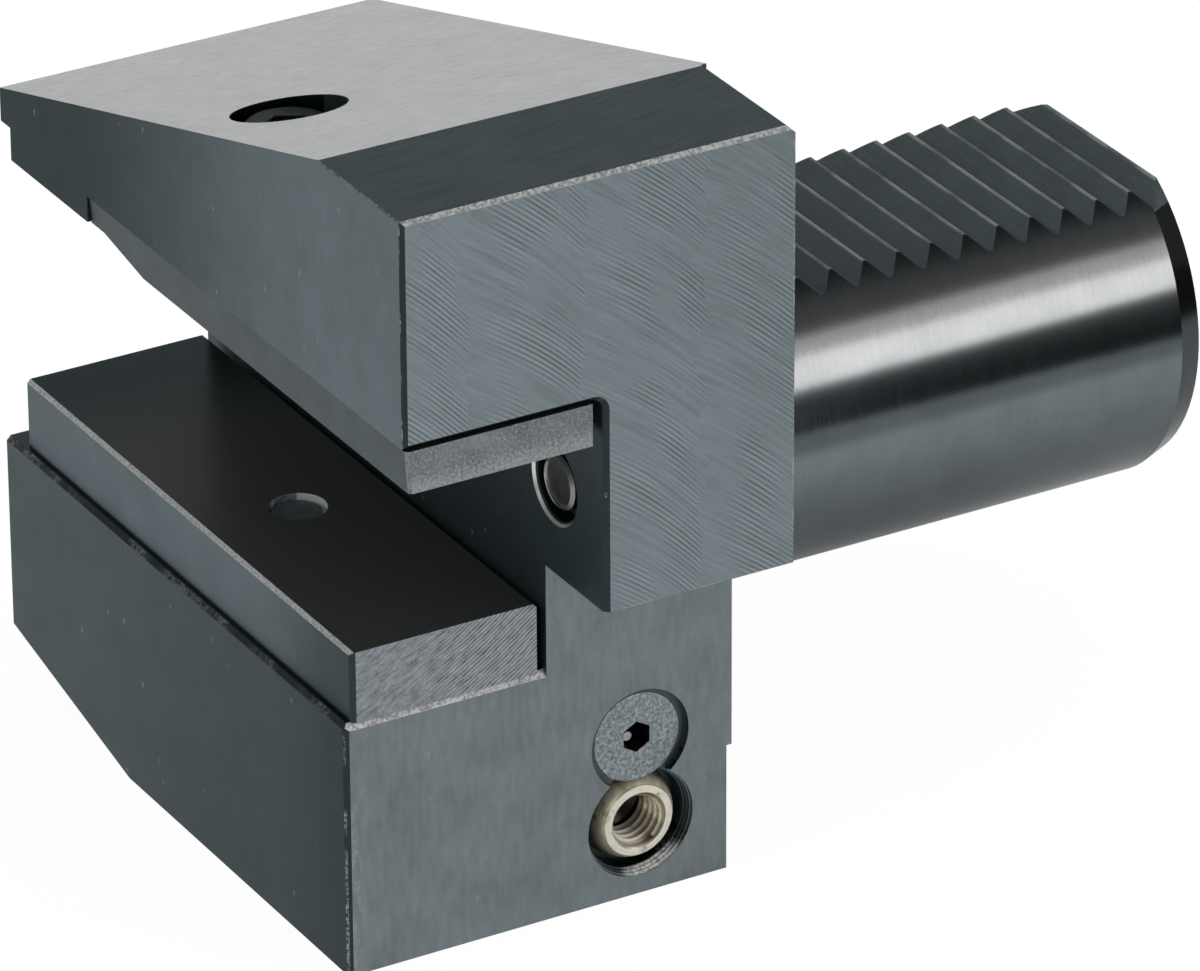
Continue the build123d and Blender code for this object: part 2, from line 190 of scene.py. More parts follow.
def finishMaterial(g, colour, metallic, roughness, height, depth, softness, samples=4):
    # depth is the full height of the bump in metres, softness the radius that an edge catches light with
    edge = g.add("ShaderNodeBevel", {"Radius": softness}, samples=samples).outputs[0]
    bump = g.add("ShaderNodeBump", {"Strength": 1.0, "Distance": depth, "Height": height, "Normal": edge}).outputs[0]
    shader = g.add("ShaderNodeBsdfPrincipled", {"Base Color": colour, "Metallic": metallic, "Roughness": roughness,
                                                "Normal": bump}).outputs[0]
    g.add("ShaderNodeOutputMaterial", {"Surface": shader})


def flecks(g, place, s):
    # short bright nicks: stretched spots round the middles of a share of the cells
    turned = g.add("ShaderNodeMapping", {"Vector": place, "Rotation": s["turn"], "Scale": s["stretch"]}).outputs[0]
    cell = g.add("ShaderNodeTexVoronoi", {"Vector": turned, "Scale": s["scale"]}).outputs
    near = g.minus(1.0, g.smooth(cell["Distance"], s["core"], s["size"]))
    chance = g.add("ShaderNodeSeparateColor", {0: cell["Color"]}).outputs[0]
    return g.times(near, g.above(chance, 1.0 - s["share"]))


bodySettings = {
    # each face: colour, scale of its tool marks in three directions, tone = low, marks, cloud,
    # and skin = roughness, its spread, bump
    "faces": {
        "other": ((0.082, 0.104, 0.110, 1), (900.0, 900.0, 900.0), (0.62, 0.30, 0.40), (0.38, 0.14, 0.5)),
        "nearUpper": ((0.242, 0.286, 0.304, 1), (1900.0, 130.0, 7.3), (0.52, 0.66, 0.22), (0.33, 0.12, 1.2)),
        "nearLower": ((0.210, 0.246, 0.260, 1), (1300.0, 280.0, 5.0), (0.46, 0.58, 0.50), (0.36, 0.14, 0.9)),
        "strip": ((0.150, 0.205, 0.222, 1), (2300.0, 120.0, 9.0), (0.40, 0.86, 0.34), (0.30, 0.12, 1.0)),
        "slope": ((0.335, 0.342, 0.344, 1), (1700.0, 420.0, 2.0), (0.06, 1.50, 0.40), (0.32, 0.14, 1.8)),
        "left": ((0.134, 0.174, 0.190, 1), (1100.0, 170.0, 7.0), (0.50, 0.50, 0.46), (0.36, 0.12, 0.8)),
        "slotWall": ((0.044, 0.067, 0.070, 1), (900.0, 300.0, 3.0), (0.66, 0.40, 0.24), (0.38, 0.10, 0.5)),
        "shank": ((0.196, 0.200, 0.202, 1), (5200.0, 3.0, 1.0), (0.66, 0.26, 0.42), (0.13, 0.09, 0.10)),
        "teeth": ((0.246, 0.300, 0.313, 1), (220.0, 3600.0, 3600.0), (0.62, 0.40, 0.36), (0.30, 0.14, 0.5)),
        "hole": ((0.034, 0.048, 0.052, 1), (5200.0, 0.0, 300.0), (0.70, 0.50, 0.20), (0.30, 0.10, 0.5)),
        "cornerBevel": ((0.036, 0.052, 0.055, 1), (700.0, 700.0, 700.0), (0.80, 0.20, 0.20), (0.34, 0.10, 0.2)),
    },
    # where the faces begin and end
    "limits": {
        "blockEnd": 0.2 * mm, "nearUpper": 41.5 * mm, "nearLower": (30.2 * mm, 31.0 * mm), "strip": 49.0 * mm,
        "stripUp": 0.985, "slope": 24.0 * mm, "slopeUp": (0.92, 0.985), "slopeBack": -0.2,
        "slotWall": -30.0 * mm, "left": -40.0 * mm, "shank": 0.1 * mm, "shankSkin": (18.5 * mm, 20.2 * mm),
        "roundWall": 19.9 * mm, "roundSide": 0.3, "teeth": 14.7 * mm, "teethFoot": 14.2 * mm,
        "pocketDepth": (18.0 * mm, 30.69 * mm), "pocketHalf": 6.6 * mm, "pocketHeight": (-36.2 * mm, -13.8 * mm),
        "topHole": 28.0 * mm, "topHoleAlong": (-6.4 * mm, 7.0 * mm), "topHoleAcross": (-39.0 * mm, -26.2 * mm),
    },
    "cloud": (170.0, 3.0, 0.6), "marks": (1.0, 3.0, 0.5), "grain": (5200.0, 1.0), "grainShare": 0.12,
    "grainBump": 0.4, "bump": 0.010 * mm, "edge": 0.10 * mm,
    # a wide face mill crossed the upper near face in upright passes, and each kept the right half of its arcs
    "arcs": {
        "passWidth": 12.9 * mm, "passStart": -46.0 * mm, "ragged": 0.5, "passShift": 1.7 * mm,
        "cutterRadius": 60.0 * mm, "cutterReach": 34.5 * mm, "drift": 1.2 * mm, "driftNoise": (70.0, 0.0),
        "pitch": 0.60 * mm, "share": 0.34, "bump": 0.5, "patchLay": (150.0, 170.0, 3.1), "patchNoise": (1.0, 1.0),
        "patchFrom": (0.38, 0.64), "passIn": (-0.3, 0.3), "passOut": (1.0, 0.6),
    },
    "stripCutter": (-160.0 * mm, -50.0 * mm),
    # painted shade on the left side: the upper arm darkens towards the far end, and the lower arm is darker all over
    # and most towards its near end, which also has a faint hatch
    "left": {
        "far": (0.009, 0.028, 0.032, 1), "upperFar": (30.0 * mm, -30.0 * mm), "lowerFar": 0.53,
        "lowerFarther": ((-30.0 * mm, 10.0 * mm, 0.18), (14.0 * mm, 32.0 * mm, 0.22)),
        "hatchFrom": (6.0 * mm, 24.0 * mm), "hatchPitch": 0.60 * mm, "hatchShare": 0.16,
    },
    # the shank's painted light and shade, by the angle from the near side towards the teeth, in radians: a bluer tint
    # and darker bands away from its bright side, and a darker end bevel
    "shank": {
        "edge": (0.184, 0.216, 0.230, 1), "shadeTintBelow": (0.42, 0.22), "shadeTintAbove": (0.62, 0.95),
        "paintedShade": ((0.05, -0.60, 0.26), (0.72, 0.92, 0.72)), "stepIn": (-0.02, 0.07), "stepOut": (0.26, 0.14),
        "stepShare": 0.38, "endBevel": 59.0 * mm, "endBevelOut": (0.2, 0.95),
        "endBevelShadeHeight": (-17.0 * mm, -8.0 * mm), "endShare": 0.66,
    },
    # bevels and rims rubbed bright, mottled by what is left of the black skin, with painted highlights on the pocket
    # mouth's lower rim and on the plug's rim; pairs are a base and a share of spots
    "wear": {
        "worn": (0.660, 0.670, 0.665, 1), "polishedAndHighlight": (0.900, 0.900, 0.890, 1), "scratch": (0.420, 0.440, 0.440, 1),
        "spotNoise": (2600.0, 3.0, 0.65), "spots": (0.38, 0.60), "sparse": (0.44, 0.60),
        "bevel": (0.50, 0.50), "bevelFrom": 29.0 * mm, "besidePlug": 5.0 * mm,
        "strip": (0.20, 0.42), "stripFrom": 48.6 * mm,
        "mouth": (0.50, 0.45), "mouthDepth": (29.3 * mm, 30.65 * mm), "mouthReach": 6.4 * mm, "mouthLean": 0.3,
        "mouthLow": (4.7 * mm, 5.8 * mm),
        "ledge": 0.34, "rightRim": 0.50, "rightEdge": -0.14 * mm, "lowEdge": 2.52 * mm,
        "cornerLine": 0.60, "cornerEdge": -43.78 * mm, "upperCornerEdge": (-43.32 * mm, -43.22 * mm),
        "fringe": 0.26, "fringeAcross": (-41.6 * mm, -43.4 * mm), "fringeMarks": (0.40, 0.60),
        "teeth": 0.42, "teethTop": (15.88 * mm, 15.98 * mm), "teethCloud": (0.36, 0.62),
        "plugRimHighlight": (4.20 * mm, 4.60 * mm), "plugRimFrom": -20.0 * mm, "plugRimSide": (47.0 * mm, 40.0 * mm),
        "nick": 0.6, "nickGrain": (0.40, 0.60), "rough": 0.18, "lessMetal": 0.75, "wallLessMetal": 0.6,
    },
    "fleck": {"turn": (0.3, 0.5, 0.9), "stretch": (1.0, 1.7, 0.6), "scale": 400.0, "core": 0.04, "size": 0.12,
              "share": 0.60},
}


def bodyMasks(g, at, position, facing):
    # one mask for each kind of face, in the order that they are laid over each other
    (x, y, z), (nx, ny, nz) = position, facing
    onBlock = g.below(y, at["blockEnd"])
    facesNear = g.above(nx, squareTo)
    facesLeft = g.times(g.below(ny, -squareTo), onBlock)
    fromAxis = g.reach(x, z)
    roundWall = g.times(g.above(fromAxis, at["roundWall"]), g.below(g.absolute(ny), at["roundSide"]))
    teeth = g.times(g.above(y, at["teeth"]), g.above(z, at["teethFoot"]), g.minus(1.0, roundWall))
    pocket = g.times(g.between(x, *at["pocketDepth"]),
                     g.below(g.absolute(g.minus(y, nozzleAxis[0])), at["pocketHalf"]),
                     g.between(z, *at["pocketHeight"]), g.minus(1.0, facesNear))
    topHole = g.times(g.above(z, at["topHole"]), g.below(g.absolute(nz), onBevel), g.between(y, *at["topHoleAcross"]),
                      g.between(x, *at["topHoleAlong"]))
    return onBlock, {
        "nearUpper": g.times(facesNear, g.above(x, at["nearUpper"]), onBlock),
        "nearLower": g.times(facesNear, g.between(x, *at["nearLower"]), onBlock),
        "strip": g.times(g.above(nz, at["stripUp"]), g.above(z, at["strip"])),
        "slope": g.times(g.between(nz, *at["slopeUp"]), g.below(nx, at["slopeBack"]), g.above(z, at["slope"]), onBlock),
        "left": g.times(facesLeft, g.below(y, at["left"])),
        "slotWall": g.times(facesLeft, g.above(y, at["slotWall"])),
        "shank": g.times(g.above(y, at["shank"]), g.between(fromAxis, *at["shankSkin"]), g.minus(1.0, teeth)),
        "teeth": teeth,
        "hole": g.most(pocket, topHole),
        "cornerBevel": g.times(g.above(nx, onBevel), g.below(ny, -onBevel)),
    }


def millArcs(g, s, mask, place, y, z, cloud):
    # the arcs stand out in patches and die away where one pass meets the next
    drift = g.noise(place, *s["driftNoise"])
    inPasses = g.maths("DIVIDE", g.minus(y, s["passStart"]), s["passWidth"])
    number = g.maths("FLOOR", g.plus(inPasses, g.times(cloud, s["ragged"])))
    share = g.minus(inPasses, number)
    across = g.plus(g.times(share, s["passWidth"]), s["cutterReach"])
    drop = g.maths("SQRT", g.minus(s["cutterRadius"] ** 2, g.times(across, across)))
    arcPlace = g.plus(g.minus(z, drop), g.times(drift, s["drift"]), g.times(number, s["passShift"]))
    patch = g.noise(g.laid((arcPlace, y, number), s["patchLay"]), *s["patchNoise"])
    patch = g.times(mask, g.smooth(patch, *s["patchFrom"]), g.smooth(share, *s["passIn"]),
                    g.smooth(share, *s["passOut"]))
    return arcPlace, number, g.times(g.wave(arcPlace, s["pitch"]), patch)


def bodyWear(g, s, faces, onBlock, position, facing, spots, cloud, marks):
    # how far each place is rubbed bright, how far it is polished or carries a painted highlight, and the painted
    # highlight on the plug's rim
    (x, y, z), (nx, ny, nz) = position, facing
    below, upwards = g.below(z, 0.0), g.above(nz, onBevel)
    fromPlug = g.reach(x, z, plugAxis)
    bevel = g.times(g.above(nx, onBevel), upwards, g.above(x, s["bevelFrom"]), g.above(fromPlug, s["besidePlug"]))
    stripBevel = g.times(g.above(z, s["stripFrom"]), g.below(ny, -onBevel), upwards)
    # the nozzle pocket's mouth: a worn rim with a painted highlight that is brightest on its lower side
    lowSide = g.minus(g.times(g.minus(y, nozzleAxis[0]), s["mouthLean"]), g.minus(z, nozzleAxis[1]))
    mouthRimWearAndHighlight = g.times(g.between(x, *s["mouthDepth"]), g.below(g.reach(y, z, nozzleAxis), s["mouthReach"]),
                       g.smooth(lowSide, *s["mouthLow"]), g.tone(s["mouth"], spots))
    wear = g.times(bevel, g.tone(s["bevel"], spots))
    wear = g.most(wear, g.times(stripBevel, g.tone(s["strip"], spots)))
    wear = g.most(wear, mouthRimWearAndHighlight)

    sparse = g.times(spots, g.smooth(cloud, *s["sparse"]))
    upperCorner = g.times(g.above(z, 0.0), g.between(y, *s["upperCornerEdge"]))
    for mask, amount in (
            (g.times(g.below(ny, -onBevel), upwards, below, onBlock), s["ledge"]),
            (g.times(faces["nearUpper"], g.most(g.above(y, s["rightEdge"]), g.below(z, s["lowEdge"]))), s["rightRim"]),
            (g.times(faces["cornerBevel"], g.most(g.below(y, s["cornerEdge"]), upperCorner)), s["cornerLine"]),
            (g.times(faces["nearLower"], g.smooth(y, *s["fringeAcross"]), g.smooth(marks, *s["fringeMarks"])),
             s["fringe"])):
        wear = g.most(wear, g.times(mask, sparse, amount))
    teethTop = g.times(faces["teeth"], g.smooth(z, *s["teethTop"]))
    wear = g.most(wear, g.times(teethTop, g.smooth(cloud, *s["teethCloud"]), s["teeth"]))
    # painted highlight: the cone round the plug is made bright on its lower left side
    plugRimHighlight = g.times(g.between(fromPlug, *s["plugRimHighlight"]), g.between(ny, -squareTo, -leans),
                      g.below(y, s["plugRimFrom"]), g.smooth(g.plus(x, z), *s["plugRimSide"]))
    return wear, g.most(mouthRimWearAndHighlight, g.times(bevel, below)), plugRimHighlight


def bodySteel(s):
    material, g, place, position, facing = startMaterial("blackenedSteel")
    (x, y, z), ny = position, facing[1]
    onBlock, faces = bodyMasks(g, s["limits"], position, facing)
    cloud = g.noise(place, *s["cloud"])
    arcPlace, number, arcs = millArcs(g, s["arcs"], faces["nearUpper"], place, y, z, cloud)

    # tool marks: one noise, laid along each face's own directions
    around = g.angle(z, x)
    directions = {
        "nearUpper": (arcPlace, y, number), "nearLower": (y, z, None),
        "strip": (g.reach(x, y, s["stripCutter"]), y, None), "slope": (x, y, None), "left": (x, z, None),
        "slotWall": (x, z, None), "shank": (y, around, None), "teeth": (x, y, z), "hole": (x, None, z),
        "cornerBevel": (x, y, z),
    }
    colour, scales, tone, skin = s["faces"]["other"]
    marksPlace = g.laid((x, y, z), scales)
    for look, mask in faces.items():
        faceColour, scales, faceTone, faceSkin = s["faces"][look]
        marksPlace = g.mix(mask, marksPlace, g.laid(directions[look], scales), "VECTOR")
        colour = g.mix(mask, colour, faceColour)
        tone = g.mix(mask, tone, faceTone, "VECTOR")
        skin = g.mix(mask, skin, faceSkin, "VECTOR")
    marks = g.noise(marksPlace, *s["marks"])
    grain = g.noise(place, *s["grain"])

    left = s["left"]
    # painted shade: how far the left side is mixed towards its dark far colour
    lowerFar = g.plus(left["lowerFar"], *g.ramps(x, left["lowerFarther"]))
    far = g.mix(g.below(z, 0.0), g.smooth(x, *left["upperFar"]), lowerFar, "FLOAT")
    colour = g.mix(g.times(faces["left"], far), colour, left["far"])
    hatch = g.times(faces["left"], g.below(z, 0.0), g.smooth(x, *left["hatchFrom"]),
                    g.wave(g.plus(x, z), left["hatchPitch"]))

    # painted shade on the shank: it is bluer and darker above and below its bright side, with a soft step to the lower
    # side
    shank = s["shank"]
    # the edge colour is a painted bluer tint wherever the shank is away from its bright band
    edge = g.most(g.smooth(around, *shank["shadeTintBelow"]), g.smooth(around, *shank["shadeTintAbove"]))
    colour = g.mix(g.times(faces["shank"], edge), colour, shank["edge"])
    step = g.times(g.smooth(around, *shank["stepIn"]), g.smooth(around, *shank["stepOut"]))
    paintedShade = g.plus(g.times(faces["shank"], g.plus(*g.ramps(around, shank["paintedShade"]))),
                    g.times(faces["shank"], step, shank["stepShare"]))
    # painted shade on the lower part of the shank's end bevel
    endBevel = g.times(g.above(y, shank["endBevel"]), g.between(ny, *shank["endBevelOut"]),
                       g.minus(1.0, faces["teeth"]))
    paintedShade = g.most(paintedShade, g.times(endBevel, g.smooth(z, *shank["endBevelShadeHeight"]), shank["endShare"]))

    low, marksShare, cloudShare = g.parts(tone)
    level = g.plus(low, g.times(marksShare, marks), g.times(cloudShare, cloud), g.times(arcs, s["arcs"]["share"]),
                   g.times(hatch, left["hatchShare"]), g.times(grain, s["grainShare"]))
    colour = g.shade(colour, g.times(level, g.minus(1.0, paintedShade)))

    worn = s["wear"]
    spots = g.smooth(g.noise(place, *worn["spotNoise"]), *worn["spots"])
    wear, polishedAndHighlight, plugRimHighlight = bodyWear(g, worn, faces, onBlock, position, facing, spots, cloud, marks)
    # worn places take the worn colour; polished places and painted highlights take the near-white
    colour = g.mix(wear, colour, g.mix(polishedAndHighlight, worn["worn"], worn["polishedAndHighlight"]))
    colour = g.mix(plugRimHighlight, colour, worn["polishedAndHighlight"])
    nick = g.times(flecks(g, place, s["fleck"]), g.smooth(grain, *worn["nickGrain"]),
                   g.minus(1.0, g.most(faces["shank"], faces["slope"])))
    colour = g.mix(g.times(nick, worn["nick"]), colour, worn["scratch"])

    low, spread, bumpShare = g.parts(skin)
    rough = g.plus(low, g.times(spread, marks), g.times(wear, worn["rough"]))
    height = g.times(bumpShare, g.plus(marks, g.times(arcs, s["arcs"]["bump"]), g.times(grain, s["grainBump"])))
    metal = g.minus(1.0, g.most(g.times(wear, worn["lessMetal"]), g.times(faces["slotWall"], worn["wallLessMetal"])))
    finishMaterial(g, colour, metal, rough, height, s["bump"], s["edge"])
    return material


barSettings = {
    "near": (0.215, 0.245, 0.260, 1), "nearTone": (0.35, 1.0), "speck": (0.370, 0.400, 0.410, 1),
    "specks": (0.42, 0.74), "lowSpecks": 0.16, "lowEdge": (23.4 * mm, 21.2 * mm),
    "left": (0.096, 0.122, 0.130, 1), "leftTone": (0.60, 0.85, 0.45, 0.36), "leftFace": -0.8,
    "hatchPitch": 0.46 * mm, "under": (0.160, 0.175, 0.180, 1), "underTone": (0.7, 0.6),
    "corner": (0.300, 0.330, 0.335, 1), "cornerGrain": (0.30, 0.55), "grain": (3200.0, 3.0, 0.65),
    "cloud": (260.0, 2.0), "roughness": (0.36, 0.16), "nearBump": 1.2, "hatchBump": 0.7, "grainBump": 0.2,
    "metal": 1.0, "bump": 0.010 * mm, "edge": 0.10 * mm,
}


def barSteel(s):
    material, g, place, (x, _, z), (nx, ny, _) = startMaterial("mattBarSteel")
    grain = g.noise(place, *s["grain"])
    cloud = g.noise(place, *s["cloud"])
    nearFace = g.above(nx, squareTo)
    leftFace = g.below(ny, s["leftFace"])
    low = g.smooth(z, *s["lowEdge"])
    corner = g.times(g.between(nx, leans, squareTo), g.below(ny, -leans))
    # two crossing rows of fine grooves make the tiny diamonds of the left side
    hatch = g.times(g.wave(g.plus(x, z), s["hatchPitch"]), g.wave(g.minus(x, z), s["hatchPitch"]))
    colour = g.shade(s["under"], g.tone(s["underTone"], cloud))
    speckled = g.mix(g.smooth(g.plus(grain, g.times(low, s["lowSpecks"])), *s["specks"]),
                     g.shade(s["near"], g.tone(s["nearTone"], cloud)), s["speck"])
    colour = g.mix(nearFace, colour, speckled)
    colour = g.mix(leftFace, colour, g.shade(s["left"], g.tone(s["leftTone"], hatch, cloud, grain)))
    colour = g.mix(g.times(corner, g.smooth(grain, *s["cornerGrain"])), colour, s["corner"])
    height = g.plus(g.times(nearFace, grain, s["nearBump"]), g.times(leftFace, hatch, s["hatchBump"]),
                    g.times(grain, s["grainBump"]))
    finishMaterial(g, colour, s["metal"], g.tone(s["roughness"], grain), height, s["bump"], s["edge"])
    return material


plateSettings = {
    "top": (0.058, 0.059, 0.059, 1), "topFar": (0.062, 0.098, 0.105, 1), "topFarther": (-16.0 * mm, -34.0 * mm),
    "side": (0.104, 0.146, 0.162, 1), "sideTone": (0.60, 0.50, 0.35), "sideNear": (0.007, 0.023, 0.025, 1),
    "sideNearer": (8.0 * mm, 29.0 * mm), "sideNearShare": 0.8, "near": (0.350, 0.388, 0.410, 1),
    "nearTone": (-0.22, 1.45, 0.60, 0.30), "corner": (0.042, 0.064, 0.066, 1), "cornerFrom": 29.0 * mm,
    "bare": (0.800, 0.815, 0.810, 1), "bareTone": (0.55, 0.4), "bareSpots": (0.42, 0.56),
    "speck": (0.300, 0.310, 0.300, 1), "speckSpots": (0.42, 0.58), "cloud": (190.0, 2.0), "fine": (4200.0, 2.0, 0.65),
    # grooves swept about a centre beyond the upper left of the near end
    "cutCentre": (-81.6 * mm, 76.0 * mm), "cutPitch": 0.38 * mm, "cutDrift": 0.5 * mm, "marksLay": (2400.0, 60.0, 0.0),
    "marks": (1.0, 3.0, 0.6), "groovesFrom": (-39.0 * mm, -29.0 * mm),
    "tipHole": 3.7 * mm, "tipHoleSide": (-33.6 * mm, -31.4 * mm), "rough": 0.36, "roughTop": 0.24,
    "bareLessMetal": 0.7, "topLessMetal": 0.85, "grooveBump": 0.8, "fineBump": 0.6,
    "bump": 0.009 * mm, "edge": 0.08 * mm,
    "fleck": {"turn": (0.4, 0.2, 0.7), "stretch": (1.0, 1.8, 0.5), "scale": 330.0, "core": 0.04, "size": 0.12,
              "share": 0.05},
}


def plateSteel(s):
    material, g, place, (x, y, z), (nx, ny, nz) = startMaterial("groundPlateSteel")
    cloud = g.noise(place, *s["cloud"])
    fine = g.noise(place, *s["fine"])
    top = g.above(nz, squareTo)
    nearFace = g.above(nx, squareTo)
    bevel = g.times(g.between(nz, leans, squareTo), g.below(ny, -leans))
    corner = g.times(g.above(nx, leans), g.below(ny, -leans), g.above(x, s["cornerFrom"]))
    cutY, cutZ = s["cutCentre"]
    fromCutter = g.reach(y, z, s["cutCentre"])
    swing = g.angle(g.minus(z, cutZ), g.minus(y, cutY))
    marks = g.noise(g.laid((fromCutter, swing, None), s["marksLay"]), *s["marks"])
    grooves = g.times(g.wave(g.plus(fromCutter, g.times(cloud, s["cutDrift"])), s["cutPitch"]),
                      g.smooth(y, *s["groovesFrom"]))
    nick = g.times(flecks(g, place, s["fleck"]), g.smooth(fine, *s["speckSpots"]))
    side = g.mix(g.times(g.smooth(x, *s["sideNearer"]), s["sideNearShare"]), s["side"], s["sideNear"])
    side = g.shade(side, g.tone(s["sideTone"], cloud, fine))
    farTop = g.smooth(x, *s["topFarther"])
    topColour = g.mix(nick, g.mix(farTop, s["top"], s["topFar"]), s["speck"])
    nearColour = g.shade(s["near"], g.tone(s["nearTone"], marks, fine, grooves))
    colour = g.mix(top, side, topColour)
    # the rim of the hole that the guide screw's end shows in
    tipHole = g.times(g.below(g.reach(x, y, guideAxis), s["tipHole"]), g.below(g.absolute(nz), squareTo))
    colour = g.mix(g.times(tipHole, g.smooth(g.minus(y, x), *s["tipHoleSide"])), colour, s["bare"])
    colour = g.mix(nearFace, colour, nearColour)
    colour = g.mix(corner, colour, s["corner"])
    colour = g.mix(g.times(bevel, g.tone(s["bareTone"], g.smooth(fine, *s["bareSpots"]))), colour, s["bare"])
    height = g.plus(g.times(nearFace, g.plus(g.times(grooves, s["grooveBump"]), marks)),
                    g.times(fine, g.minus(1.0, top), s["fineBump"]))
    metal = g.minus(1.0, g.most(g.times(g.most(bevel, tipHole), s["bareLessMetal"]),
                                g.times(top, g.minus(1.0, farTop), s["topLessMetal"])))
    finishMaterial(g, colour, metal, g.mix(top, s["rough"], s["roughTop"], "FLOAT"), height, s["bump"], s["edge"])
    return material


# what all screws, plugs, pins and the spring start from
smallShared = {
    "grainNoise": (3.0, 0.65), "cloud": (260.0, 2.0), "level": 0.82, "cloudShare": 0.35, "specks": (0.56, 0.70),
    "roughSpread": 0.12, "bumpDepth": 0.008 * mm, "rim": 0.0, "metal": 1.0, "paintedHighlight": None, "socket": None,
}

# what each has of its own; the rim is a narrow bevel that shows as a bright line
smallSettings = {
    "blackScrew": {"colour": (0.060, 0.070, 0.074, 1), "speck": (0.26, 0.27, 0.27, 1), "speckShare": 0.22,
                   "grain": 0.45, "grainScale": 2600.0, "bump": 0.5, "roughness": 0.28, "edge": 0.25 * mm},
    "plateTip": {"colour": (0.110, 0.145, 0.150, 1), "speck": (0.50, 0.52, 0.52, 1), "speckShare": 0.08,
                 "grain": 0.90, "grainScale": 1600.0, "bump": 1.6, "roughness": 0.30, "rim": 0.7, "edge": 0.10 * mm,
                 "metal": 0.45},
    "capScrew": {"colour": (0.090, 0.112, 0.118, 1), "speck": (0.34, 0.37, 0.37, 1), "speckShare": 0.16,
                 "grain": 0.90, "grainScale": 1400.0, "bump": 0.8, "roughness": 0.30, "rim": 0.5, "edge": 0.15 * mm},
    "greyScrew": {"colour": (0.290, 0.335, 0.355, 1), "speck": (0.56, 0.59, 0.61, 1), "speckShare": 0.50,
                  "grain": 2.60, "grainScale": 2500.0, "bump": 3.4, "roughness": 0.40, "edge": 0.10 * mm,
                  # the socket: its black is painted shade inside it, its bare colour a painted highlight on its floor
                  "socket": {"place": (-10.6 * mm, -20.1 * mm), "reach": 1.8 * mm, "face": 29.85 * mm,
                             "black": (0.006, 0.008, 0.009, 1), "bare": (0.95, 0.95, 0.95, 1),
                             "spot": (-10.60 * mm, -20.95 * mm), "spotReach": 0.5 * mm, "lessMetal": 0.9}},
    "plugSteel": {"colour": (0.150, 0.158, 0.150, 1), "speck": (0.62, 0.62, 0.60, 1), "speckShare": 0.10,
                  "grain": 0.45, "grainScale": 1800.0, "bump": 0.5, "roughness": 0.26, "rim": 0.3, "edge": 0.06 * mm,
                  # the plug's rim carries a painted highlight on its lower left
                  "paintedHighlight": {"colour": (0.85, 0.85, 0.83, 1), "centre": plugAxis, "reach": 2.5 * mm,
                             "side": (2.2 * mm, 3.4 * mm), "lessMetal": 0.6}},
    "brightSteel": {"colour": (0.480, 0.485, 0.475, 1), "speck": (0.62, 0.62, 0.60, 1), "speckShare": 0.2,
                    "grain": 0.40, "grainScale": 3600.0, "bump": 0.4, "roughness": 0.24, "edge": 0.20 * mm},
    "springWire": {"colour": (0.400, 0.405, 0.400, 1), "speck": (0.55, 0.55, 0.54, 1), "speckShare": 0.3,
                   "grain": 0.40, "grainScale": 4200.0, "bump": 0.4, "roughness": 0.26, "edge": 0.10 * mm},
}


def smallSteel(name, s):
    material, g, place, (x, y, z), (nx, ny, nz) = startMaterial(name)
    grain = g.noise(place, s["grainScale"], *s["grainNoise"])
    cloud = g.noise(place, *s["cloud"])
    colour = g.shade(s["colour"], g.tone((s["level"] - s["grain"] / 2, s["grain"], s["cloudShare"]), grain, cloud))
    colour = g.mix(g.times(g.smooth(grain, *s["specks"]), s["speckShare"]), colour, s["speck"])
    if s["rim"]:
        slanted = g.most(g.between(g.absolute(nz), leans, squareTo), g.between(g.absolute(ny), leans, squareTo))
        slanted = g.times(slanted, g.most(g.above(nz, slightly), g.below(ny, -slightly)))
        colour = g.mix(g.times(slanted, s["rim"]), colour, s["speck"])
    metal, paintedHighlight, socket = s["metal"], s["paintedHighlight"], s["socket"]
    if paintedHighlight:
        # painted highlight: the plug's rim is made bright on its lower left
        lowLeft = g.minus(sum(paintedHighlight["centre"]), g.plus(x, z))
        crescent = g.times(g.above(g.reach(x, z, paintedHighlight["centre"]), paintedHighlight["reach"]),
                           g.smooth(lowLeft, *paintedHighlight["side"]), g.below(ny, -slightly))
        colour = g.mix(crescent, colour, paintedHighlight["colour"])
        metal = g.minus(metal, g.times(crescent, paintedHighlight["lessMetal"]))
    if socket:
        # painted shade makes the hexagon black inside, and a painted highlight makes one spot on its floor white and
        # less metallic
        inside = g.times(g.below(g.reach(y, z, socket["place"]), socket["reach"]), g.below(x, socket["face"]))
        bare = g.times(inside, g.below(g.reach(y, z, socket["spot"]), socket["spotReach"]), g.above(nx, onBevel))
        colour = g.mix(inside, colour, g.mix(bare, socket["black"], socket["bare"]))
        metal = g.minus(metal, g.times(bare, socket["lessMetal"]))
    finishMaterial(g, colour, metal, g.tone((s["roughness"], s["roughSpread"]), grain),
                   g.times(grain, s["bump"]), s["bumpDepth"], s["edge"])
    return material


sealSettings = {
    "colour": (0.018, 0.018, 0.019, 1), "dust": (0.045, 0.045, 0.045, 1), "dustNoise": (700.0, 3.0), "metal": 0.0,
    "dustFrom": (0.45, 0.75), "grain": (3200.0, 3.0), "roughness": (0.46, 0.15), "bump": 0.010 * mm, "edge": 0.6 * mm,
}


def sealRubber(s):
    material, g, place = startMaterial("sealRubber")[:3]
    grain = g.noise(place, *s["grain"])
    colour = g.mix(g.smooth(g.noise(place, *s["dustNoise"]), *s["dustFrom"]), s["colour"], s["dust"])
    finishMaterial(g, colour, s["metal"], g.tone(s["roughness"], grain), grain, s["bump"], s["edge"])
    return material


